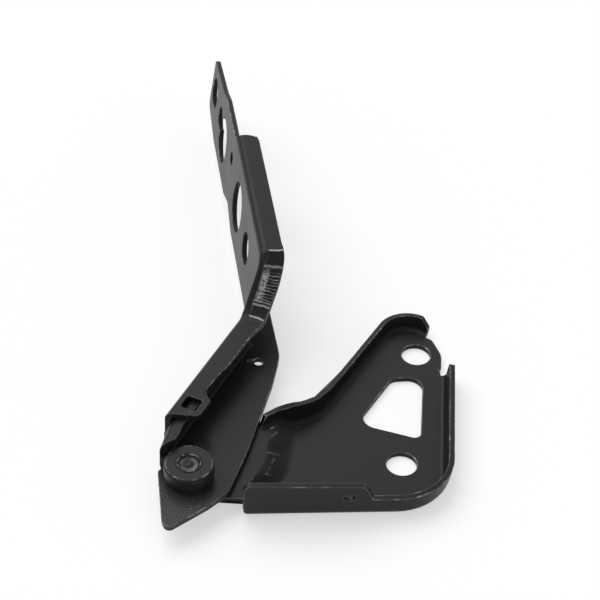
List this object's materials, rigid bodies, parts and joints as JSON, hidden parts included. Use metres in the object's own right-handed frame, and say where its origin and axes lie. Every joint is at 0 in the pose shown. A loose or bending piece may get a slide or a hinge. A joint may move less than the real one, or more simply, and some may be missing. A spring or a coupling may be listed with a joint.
{
  "type": "bonnet hinge",
  "caption": "Pressed-steel bonnet hinge: flanged body bracket, riveted pivot with stepped collar and a two-layer swan-neck arm whose upright plate bolts to the bonnet.",
  "frame": {"origin": "midway between the two body bolt holes, on the bracket's mounting face", "axes": "+Z along the pivot axis, away from the mounting face; +Y along the body bolt holes, towards the swan neck; +X away from the pivot"},
  "size_m": [0.1413, 0.2808, 0.0475],
  "materials": {
    "coated_steel": "satin black electrocoat",
    "pivot_steel": "coated rivet and collar",
    "bearing": "dark low-friction liner"
  },
  "bodies": {
    "bracket": {"body_bracket": "coated_steel", "pivot_rivet": "pivot_steel", "pivot_collar": "pivot_steel", "top_washer": "pivot_steel", "thrust_washer": "bearing"},
    "arm": {"pivot_arm": "coated_steel", "bonnet_arm": "coated_steel", "pivot_bush": "bearing"}
  },
  "joints": [
    {"name": "bonnet_pivot", "type": "hinge", "parent": "bracket", "child": "arm", "pos_m": [-0.082, -0.0627, 0.00915], "axis": [0, 0, 1], "range_deg": [0, 57]}
  ]
}
